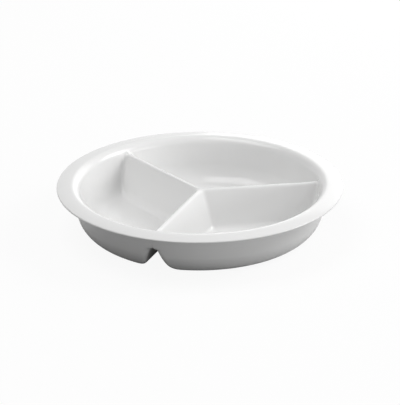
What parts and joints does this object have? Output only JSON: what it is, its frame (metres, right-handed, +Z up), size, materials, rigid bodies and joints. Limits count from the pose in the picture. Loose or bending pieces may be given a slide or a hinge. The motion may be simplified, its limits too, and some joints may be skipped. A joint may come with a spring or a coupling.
{
  "type": "divided serving pan",
  "caption": "Round porcelain serving pan with a flat hanging rim and equal compartments parted by hollow dividers that meet at the centre.",
  "frame": {"origin": "centre of the base plane that the basins stand on", "axes": "+Z up along the axis of the round rim, +Y towards the rear basin, the front divider along -Y"},
  "size_m": [0.39, 0.39, 0.068],
  "materials": {
    "glaze": "clear gloss glaze over white porcelain"
  },
  "bodies": {
    "root": {"rim_flange": "glaze", "rear_basin": "glaze", "left_basin": "glaze", "right_basin": "glaze", "front_divider": "glaze", "left_divider": "glaze", "right_divider": "glaze", "divider_hub": "glaze"}
  },
  "joints": []
}
